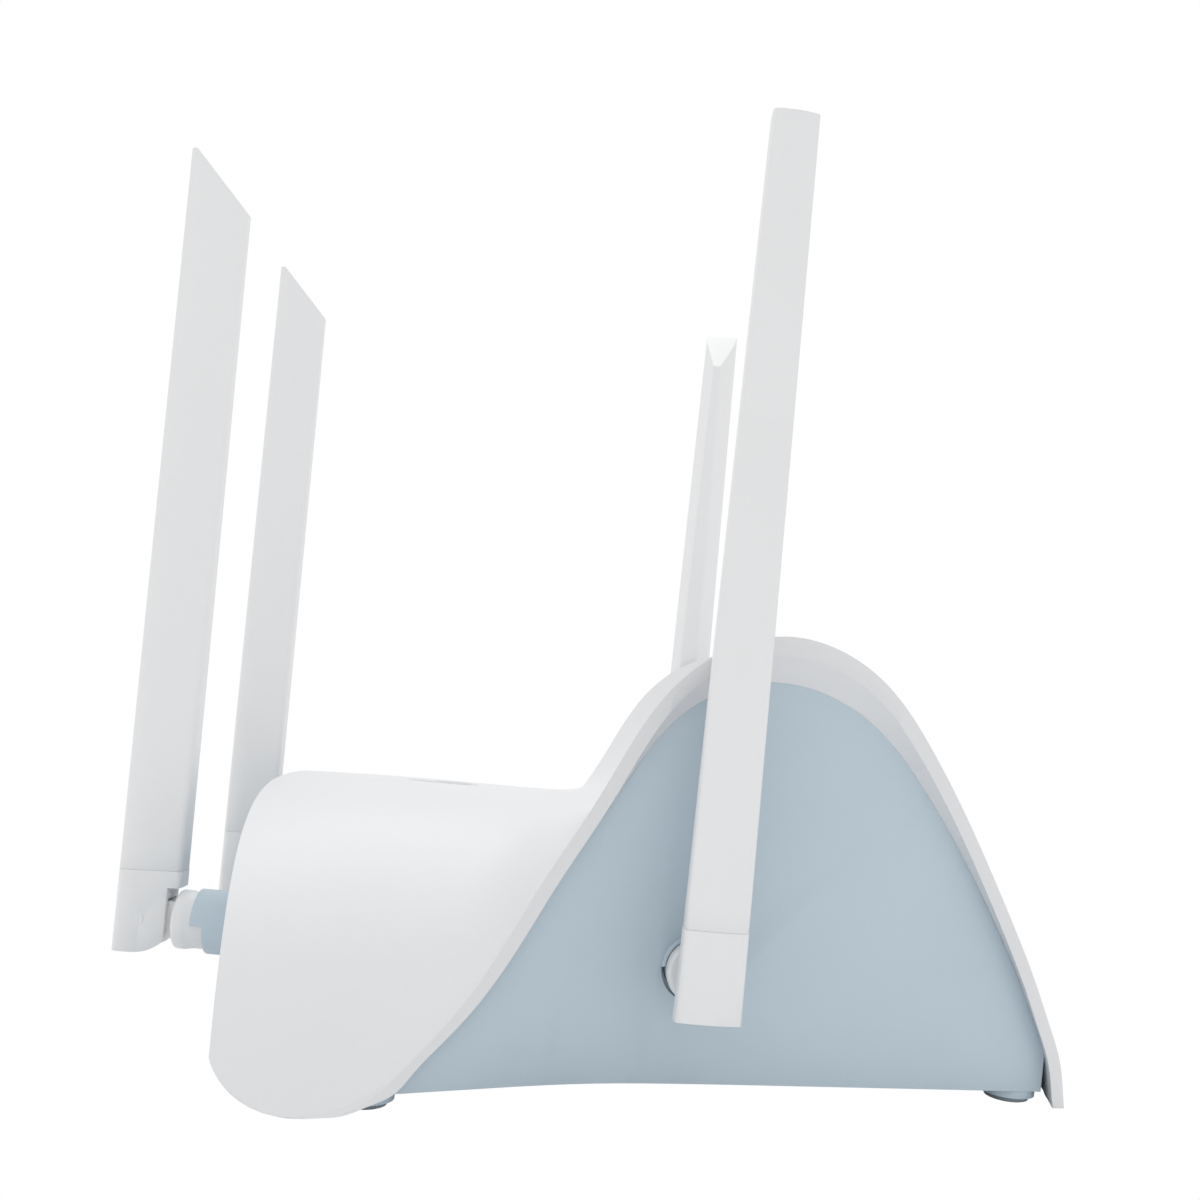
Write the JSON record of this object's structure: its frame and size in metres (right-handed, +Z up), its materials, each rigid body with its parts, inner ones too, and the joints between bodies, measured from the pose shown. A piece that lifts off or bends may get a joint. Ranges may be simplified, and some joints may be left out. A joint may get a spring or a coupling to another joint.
{
  "type": "wireless network router",
  "caption": "Free-standing home Wi-Fi router: white saddle-shaped cover with tall side arches on a blue-grey wall, with folding blade antennas.",
  "frame": {"origin": "on the ground plane under the middle of the whole object's box", "axes": "+Z up, +X towards the front lip, away from the ports; Y = 0 is the plane of symmetry of the casing"},
  "size_m": [0.2127, 0.1978, 0.1921],
  "materials": {
    "cover_white": "fine satin moulded white",
    "wall_blue": "satin blue-grey moulding",
    "antenna_white": "satin moulded white",
    "foot_rubber": "soft grey rubber",
    "steel": "tin-plated steel",
    "contact_metal": "thin gold plating",
    "board_green": "solder mask",
    "lens_clear": "clear light guide",
    "button_grey": "satin grey",
    "component_black": "black moulded"
  },
  "bodies": {
    "root": {"antenna_connectors": "contact_metal", "base_plate": "wall_blue", "board_screws": "steel", "capacitors": "component_black", "case_screws": "steel", "crystal": "component_black", "feet": "foot_rubber", "flash_chip": "component_black", "main_board": "board_green", "memory_chip": "component_black", "network_transformers": "component_black", "port_block": "component_black", "port_contacts": "contact_metal", "port_shield": "steel", "power_inlet": "component_black", "power_inlet_pin": "contact_metal", "processor_shield_can": "steel", "radio_shield_can": "steel", "rear_left_collar": "wall_blue", "rear_left_lead": "component_black", "rear_right_collar": "wall_blue", "rear_right_lead": "component_black", "side_left_collar": "wall_blue", "side_left_lead": "component_black", "side_right_collar": "wall_blue", "side_right_lead": "component_black", "status_led": "lens_clear", "status_lens": "lens_clear", "tact_switches": "component_black", "top_cover": "cover_white", "wall_shell": "wall_blue"},
    "rear_left_swivel_body": {"rear_left_swivel": "antenna_white"},
    "rear_left_antenna": {"rear_left_knuckle": "antenna_white", "rear_left_hinge_pin": "antenna_white", "rear_left_sleeve": "antenna_white", "rear_left_radiator": "contact_metal"},
    "rear_right_swivel_body": {"rear_right_swivel": "antenna_white"},
    "rear_right_antenna": {"rear_right_knuckle": "antenna_white", "rear_right_hinge_pin": "antenna_white", "rear_right_sleeve": "antenna_white", "rear_right_radiator": "contact_metal"},
    "side_left_swivel_body": {"side_left_swivel": "antenna_white"},
    "side_left_antenna": {"side_left_knuckle": "antenna_white", "side_left_hinge_pin": "antenna_white", "side_left_sleeve": "antenna_white", "side_left_radiator": "contact_metal"},
    "side_right_swivel_body": {"side_right_swivel": "antenna_white"},
    "side_right_antenna": {"side_right_knuckle": "antenna_white", "side_right_hinge_pin": "antenna_white", "side_right_sleeve": "antenna_white", "side_right_radiator": "contact_metal"},
    "wps_button_body": {"wps_button": "button_grey"},
    "reset_button_body": {"reset_button": "button_grey"}
  },
  "joints": [
    {"name": "rear_left_swivel_turn", "type": "hinge", "parent": "root", "child": "rear_left_swivel_body", "pos_m": [-0.08945, 0.0385, 0.022], "axis": [-1, 0, 0], "range_deg": [-12, 90]},
    {"name": "rear_left_tilt", "type": "hinge", "parent": "rear_left_swivel_body", "child": "rear_left_antenna", "pos_m": [-0.10095, 0.0385, 0.022], "axis": [0, -1, 0], "range_deg": [0, 90]},
    {"name": "rear_right_swivel_turn", "type": "hinge", "parent": "root", "child": "rear_right_swivel_body", "pos_m": [-0.08945, -0.0385, 0.022], "axis": [-1, 0, 0], "range_deg": [-90, 12]},
    {"name": "rear_right_tilt", "type": "hinge", "parent": "rear_right_swivel_body", "child": "rear_right_antenna", "pos_m": [-0.10095, -0.0385, 0.022], "axis": [0, -1, 0], "range_deg": [0, 90]},
    {"name": "side_left_swivel_turn", "type": "hinge", "parent": "root", "child": "side_left_swivel_body", "pos_m": [0.01715, 0.0613, 0.0265], "axis": [0.1219, 0.9925, 0], "range_deg": [-8, 88]},
    {"name": "side_left_tilt", "type": "hinge", "parent": "side_left_swivel_body", "child": "side_left_antenna", "pos_m": [0.01855, 0.07271, 0.0265], "axis": [-0.9925, 0.1219, 0], "range_deg": [0, 90]},
    {"name": "side_right_swivel_turn", "type": "hinge", "parent": "root", "child": "side_right_swivel_body", "pos_m": [0.01715, -0.0613, 0.0265], "axis": [0.1219, -0.9925, 0], "range_deg": [-88, 8]},
    {"name": "side_right_tilt", "type": "hinge", "parent": "side_right_swivel_body", "child": "side_right_antenna", "pos_m": [0.01855, -0.07271, 0.0265], "axis": [0.9925, 0.1219, 0], "range_deg": [0, 90]},
    {"name": "wps_button_press", "type": "slide", "parent": "root", "child": "wps_button_body", "axis": [1, 0, 0], "range_m": [0, 0.0006], "stiffness_N_per_m": 800},
    {"name": "reset_button_press", "type": "slide", "parent": "root", "child": "reset_button_body", "axis": [1, 0, 0], "range_m": [0, 0.0006], "stiffness_N_per_m": 800}
  ]
}
